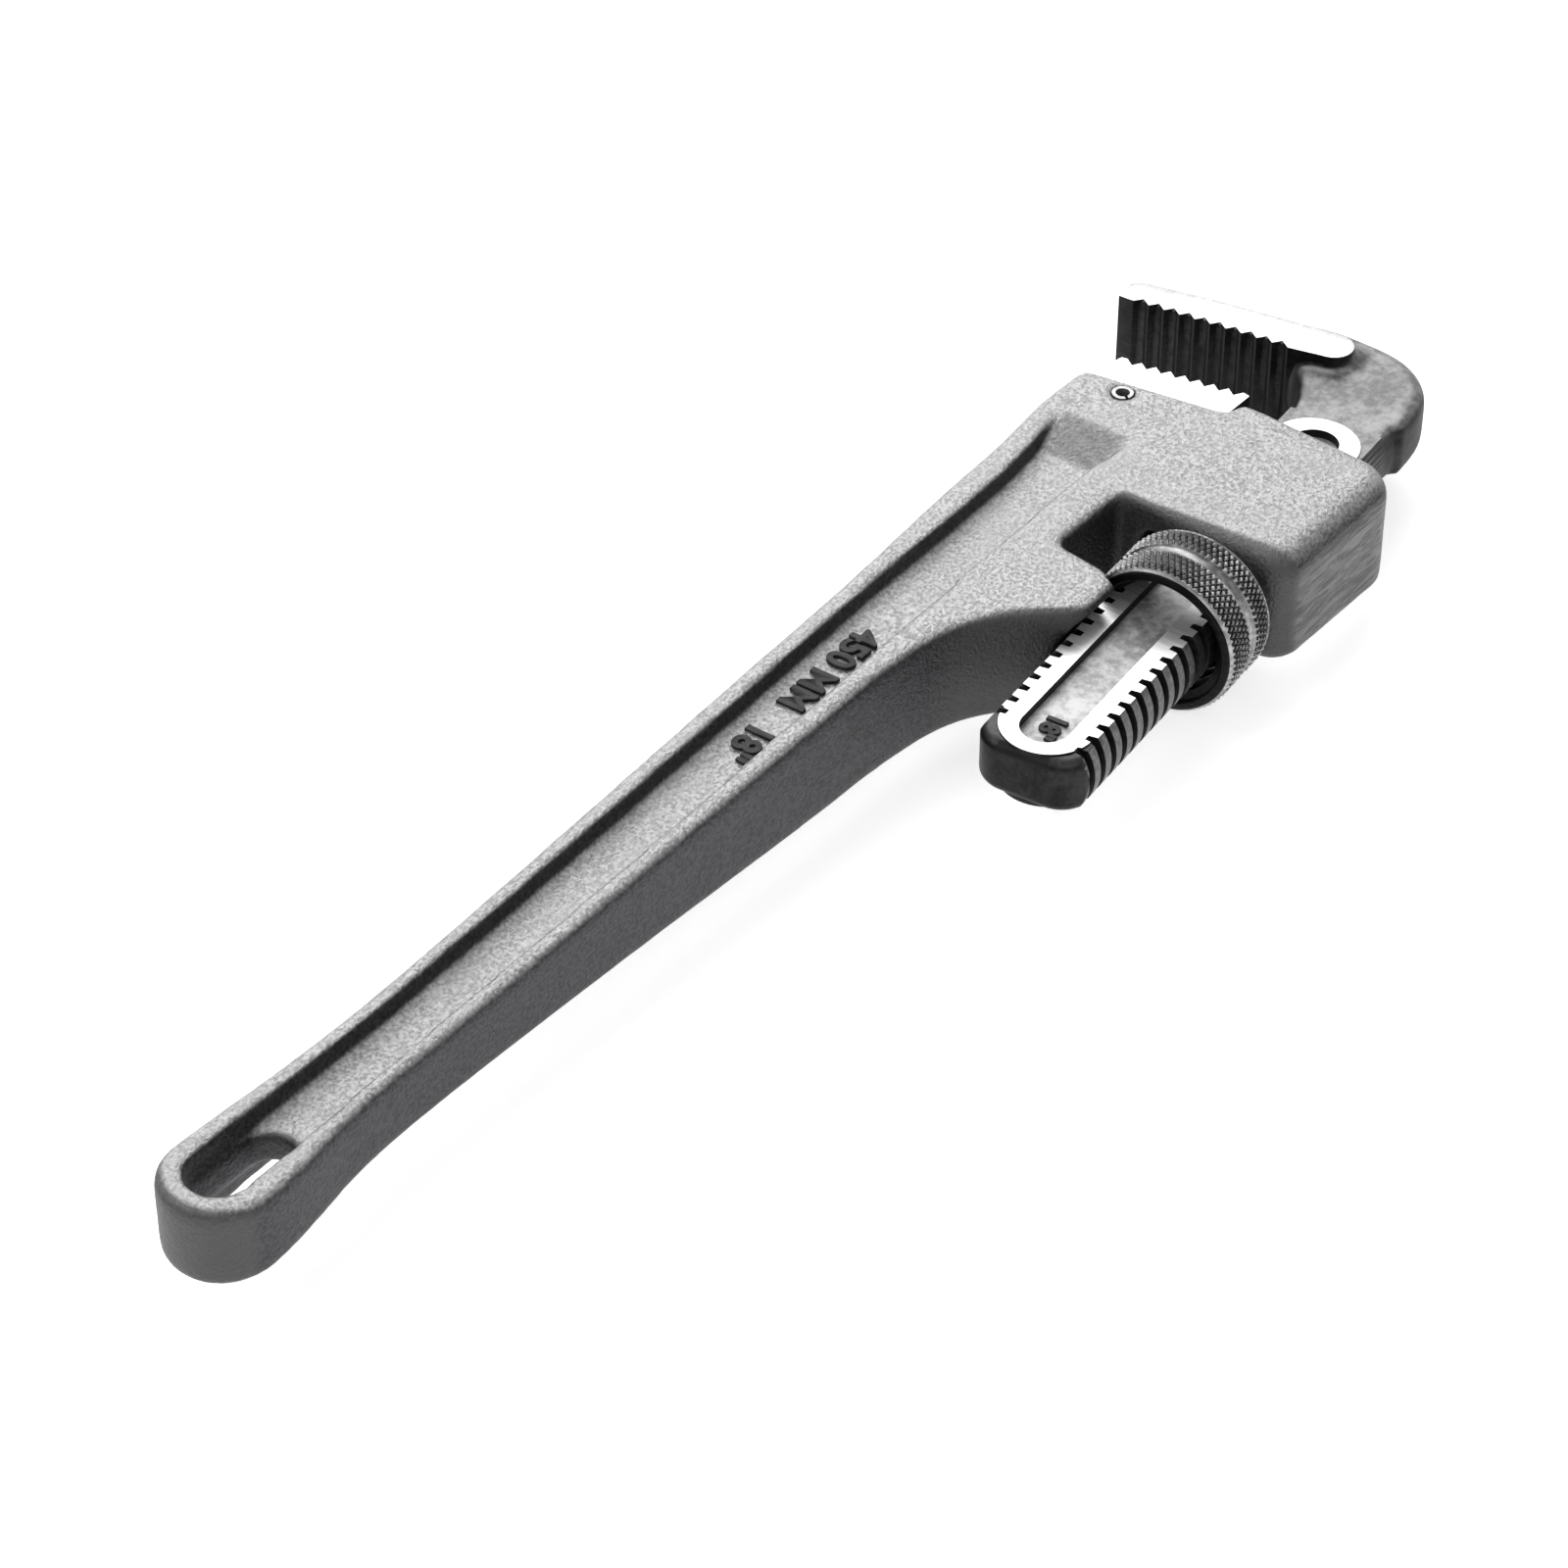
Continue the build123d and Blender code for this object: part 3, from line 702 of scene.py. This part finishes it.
def make_pad():
    """The toothed jaw face and the bright ground pads on both its sides."""
    outline = pad_outline()
    bm = bmesh.new()
    low = [bm.verts.new(place(x, y, -JAW_HALF)) for x, y in outline]
    high = [bm.verts.new(place(x, y, JAW_HALF)) for x, y in outline]
    bm.faces.new(low)
    bm.faces.new(high)
    for i in range(len(outline)):
        j = (i + 1) % len(outline)
        bm.faces.new([low[i], low[j], high[j], high[i]])
    bmesh.ops.recalc_face_normals(bm, faces=bm.faces)
    rims = [e for e in bm.edges if e.calc_face_angle(0) > math.radians(20)]
    bmesh.ops.bevel(bm, geom=rims, offset=PAD_BEVEL * MM, segments=2, profile=0.5, affect="EDGES")
    mesh = bpy.data.meshes.new("hook_jaw_face")
    bm.to_mesh(mesh)
    bm.free()
    obj = new_object("hook_jaw_face", mesh)
    with_material(obj, tooth, pad_face)
    for face in mesh.polygons:
        face.material_index = 1 if abs(face.normal.z) > 0.9 else 0
    shade_smooth(obj, 25)
    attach(obj, "hook")
    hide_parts("hook_jaw")
    return obj


MARK_RAISE = 0.5
# Middle of the screw's own mark, up from the screw's axis, just over the floor of its recess
MARK_LEVEL = 6.1


def size_mark(name, text, size, spot, turn, tilt=0.0):
    """A raised size mark, turned about Z and tilted along its own line."""
    curve = bpy.data.curves.new(name, "FONT")
    curve.body = text
    curve.size = size * MM
    curve.extrude = MARK_RAISE * MM
    curve.bevel_depth = 0.12 * MM
    curve.offset = 0.25 * MM
    curve.align_x = "CENTER"
    curve.align_y = "CENTER"
    words = bpy.data.objects.new(name, curve)
    scene.collection.objects.link(words)
    turned = Matrix.Rotation(turn, 4, "Z") @ Matrix.Rotation(tilt, 4, "Y")
    words.matrix_world = Matrix.Translation(spot) @ turned
    bpy.context.view_layer.update()
    mesh = bpy.data.meshes.new_from_object(words.evaluated_get(bpy.context.evaluated_depsgraph_get()))
    mesh.transform(words.matrix_world)
    bpy.data.objects.remove(words)
    obj = new_object(name, mesh)
    # The mark is coloured dark: painted shade.
    with_material(obj, painted_shade_mark)
    return obj


def make_handle_mark():
    """The size on the floor of the channel, which rises towards the head."""
    obj = size_mark("handle_size_mark", "450 MM   18\"", 11.0, place(4.0, 0.9, 10.55), math.pi + 0.035, 0.037)
    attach(obj, "handle_body")


def make_hook_mark():
    """The size in the screw's recess."""
    obj = size_mark("hook_size_mark", "18\"", 7.6, on_screw(-53.0, SCREW_SIDE, MARK_LEVEL), LEAN + math.pi)
    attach(obj, "hook")


def make_coil():
    """The coil spring, copied from its CAD node. The real spring shortens towards the bottom of its pocket as the
    hook rocks; this copy keeps its shape.
    """
    obj = cad_copy("coil_spring", "coil_spring_wire")
    shade_smooth(obj)
    with_material(obj, spring_steel)
    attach(obj, "handle_body")
    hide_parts("coil_spring")
    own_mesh(obj)


make_handle()
make_nut()
make_screw()
make_forging()
make_pad()
make_handle_mark()
make_hook_mark()
make_coil()
with_material(nodes["heel_jaw"], ground)
for name in ("heel_jaw_pin", "leaf_spring", "spring_rivet"):
    with_material(nodes[name], spring_steel)

# Floor, light and camera, in metres

FLOOR_HALF = 6.0
FLOOR_LEVEL = -0.0002
FLOOR_GLOW = 0.6
WORLD_STRENGTH = 0.36
# Name, place, size and power of each light. All of them point at the middle of the wrench.
LIGHTS = (
    ("key", (1.15, 1.1, 1.35), (1.9, 1.3), 22),
    ("fill", (-1.3, 1.0, 1.3), (1.2, 1.0), 8),
    ("back_fill", (-0.9, -1.2, 1.2), (1.2, 1.0), 5),
    ("top", (-0.2, 0.5, 1.7), (0.7, 0.7), 3),
)
# The camera's place in the drawing's millimetres, the way it looks and its right-hand side
CAMERA_SPOT = (-740.85, -580.11, 751.10)
CAMERA_VIEW = (0.60904, 0.47966, -0.63166)
CAMERA_RIGHT = (0.6187, -0.7856, 0.0)


def make_floor():
    """A pale floor that glows a little, so that it looks white."""
    g = Graph("floor")
    color = g.mix(g.noise(6.0, 2.0), grey(0.93), grey(0.95))
    material = g.finish(color, 0.8, 0.0)
    g.shader.inputs["Emission Color"].default_value = grey(1.0)
    g.shader.inputs["Emission Strength"].default_value = FLOOR_GLOW
    corners = [(x * FLOOR_HALF, y * FLOOR_HALF, FLOOR_LEVEL) for x, y in ((-1, -1), (1, -1), (1, 1), (-1, 1))]
    mesh = bpy.data.meshes.new("floor")
    mesh.from_pydata(corners, [], [(0, 1, 2, 3)])
    floor = new_object("floor", mesh)
    with_material(floor, material)


def make_light(name, spot, size, power):
    """A soft light that points at the middle of the wrench."""
    data = bpy.data.lights.new(name, "AREA")
    data.shape = "RECTANGLE"
    data.size, data.size_y = size
    data.energy = power
    obj = new_object(name, data)
    obj.location = spot
    obj.rotation_euler = (-Vector(spot)).to_track_quat("-Z", "Y").to_euler()


def make_world():
    """An even white surround. The Standard view keeps the white floor white."""
    world = bpy.data.worlds.new("studio")
    world.use_nodes = True
    background = world.node_tree.nodes["Background"]
    background.inputs["Color"].default_value = grey(1.0)
    background.inputs["Strength"].default_value = WORLD_STRENGTH
    scene.world = world
    scene.view_settings.view_transform = "Standard"


def make_camera():
    """The camera, which looks down along the handle towards the head."""
    data = bpy.data.cameras.new("camera")
    data.lens = 108.9
    data.sensor_width = 36.0
    data.clip_start = 0.01
    data.clip_end = 100.0
    view = Vector(CAMERA_VIEW).normalized()
    right = Vector(CAMERA_RIGHT).normalized()
    facing = Matrix((right, right.cross(view), -view)).transposed().to_4x4()
    camera = new_object("camera", data)
    camera.matrix_world = Matrix.Translation(place(*CAMERA_SPOT)) @ facing
    scene.camera = camera


make_floor()
make_world()
for light in LIGHTS:
    make_light(*light)
make_camera()
